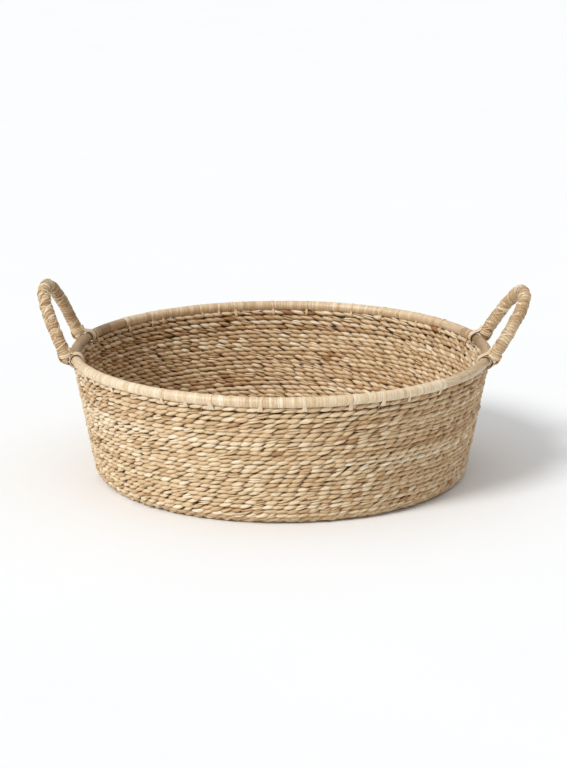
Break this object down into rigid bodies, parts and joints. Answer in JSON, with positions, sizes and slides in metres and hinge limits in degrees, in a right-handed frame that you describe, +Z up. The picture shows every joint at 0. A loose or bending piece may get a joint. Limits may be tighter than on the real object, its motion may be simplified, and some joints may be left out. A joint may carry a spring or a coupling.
{
  "type": "round woven storage basket with two handles",
  "caption": "Low round storage basket of twined seagrass with a peel-bound rim hoop and two hoop handles that swing on lashed eyes.",
  "frame": {"origin": "centre of the underside of the base", "axes": "+Z up, +X through the right handle, -X through the left handle, -Y towards the front"},
  "size_m": [0.5839, 0.5048, 0.2297],
  "materials": {
    "seagrass_outer": "dry twisted seagrass strand, matt with a faint sheen",
    "seagrass_inner": "dry twisted seagrass strand, darker inside",
    "stake": "bundled seagrass stakes, hidden",
    "cane": "bare rattan cane, satin",
    "rattan_peel": "rattan peel strip, satin and slightly glossy",
    "tie_peel": "pale peel strip, satin"
  },
  "bodies": {
    "basket": {"base_lower_weave": "seagrass_outer", "base_upper_weave": "seagrass_inner", "base_centre_knot": "seagrass_outer", "warp_spokes_and_stakes": "stake", "wall_row_01": "seagrass_outer", "wall_row_02": "seagrass_outer", "wall_row_03": "seagrass_outer", "wall_row_04": "seagrass_outer", "wall_row_05": "seagrass_outer", "wall_row_06": "seagrass_outer", "wall_row_07": "seagrass_outer", "wall_row_08": "seagrass_outer", "wall_row_09": "seagrass_outer", "wall_row_10": "seagrass_outer", "wall_row_11": "seagrass_outer", "wall_row_12": "seagrass_outer", "wall_row_13": "seagrass_outer", "wall_row_14": "seagrass_outer", "wall_row_15": "seagrass_outer", "wall_row_16": "seagrass_outer", "wall_row_17": "seagrass_outer", "wall_row_18": "seagrass_outer", "wall_row_19": "seagrass_outer", "wall_row_20": "seagrass_outer", "wall_row_21": "seagrass_outer", "wall_row_22": "seagrass_outer", "wall_row_23": "seagrass_outer", "wall_row_24": "seagrass_outer", "wall_row_25": "seagrass_outer", "wall_row_26": "seagrass_outer", "wall_row_27": "seagrass_outer", "wall_inner_weave": "seagrass_inner", "wall_top_inner_row": "seagrass_inner", "rim_core_hoop": "cane", "rim_binding_front": "rattan_peel", "rim_binding_rear": "rattan_peel", "rim_splice_left": "cane", "rim_splice_right": "cane", "rim_lacing": "tie_peel"},
    "handle_left": {"handle_left_core": "cane", "handle_left_binding": "seagrass_outer", "handle_left_eye_front": "tie_peel", "handle_left_eye_rear": "tie_peel"},
    "handle_right": {"handle_right_core": "cane", "handle_right_binding": "seagrass_outer", "handle_right_eye_front": "tie_peel", "handle_right_eye_rear": "tie_peel"}
  },
  "joints": [
    {"name": "handle_left_swing", "type": "hinge", "parent": "basket", "child": "handle_left", "pos_m": [-0.23791, 0.00831, 0.1476], "axis": [-0.0349, -0.9994, 0], "range_deg": [-44, 26]},
    {"name": "handle_right_swing", "type": "hinge", "parent": "basket", "child": "handle_right", "pos_m": [0.23805, 0, 0.1476], "axis": [0, 1, 0], "range_deg": [-52, 18]}
  ]
}
